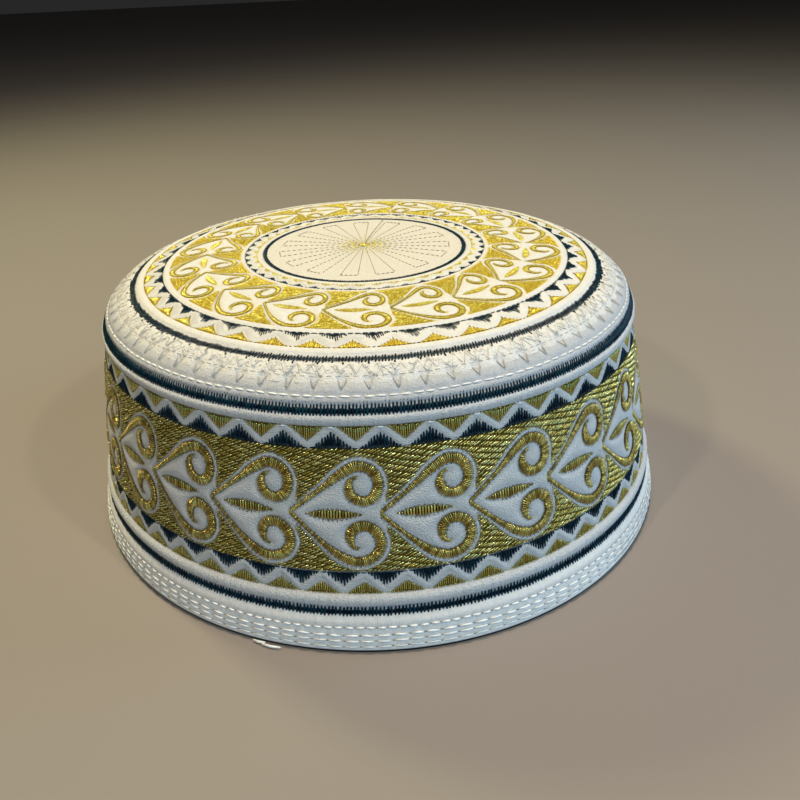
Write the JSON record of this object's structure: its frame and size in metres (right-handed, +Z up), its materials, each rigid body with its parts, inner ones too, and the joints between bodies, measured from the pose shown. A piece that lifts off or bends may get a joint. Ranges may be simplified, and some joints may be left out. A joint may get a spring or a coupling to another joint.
{
  "type": "prayer cap",
  "caption": "Round embroidered prayer cap of white cloth, with a domed crown panel, a tapering side wall and an open hem.",
  "frame": {"origin": "centre of the hem's outline, on the surface that the cap stands on", "axes": "+Z up along the cap's axis, front towards -Y"},
  "size_m": [0.1848, 0.1894, 0.0773],
  "materials": {
    "crown_cloth": "soft satin cotton, warm white",
    "side_cloth": "soft satin cotton, cool white",
    "gold_thread": "metallic gold thread, satin and rows of short stitches",
    "navy_thread": "glossy navy thread",
    "white_thread": "glossy white thread"
  },
  "bodies": {
    "root": {"crown_panel": "crown_cloth", "side_wall": "side_cloth"}
  },
  "joints": []
}
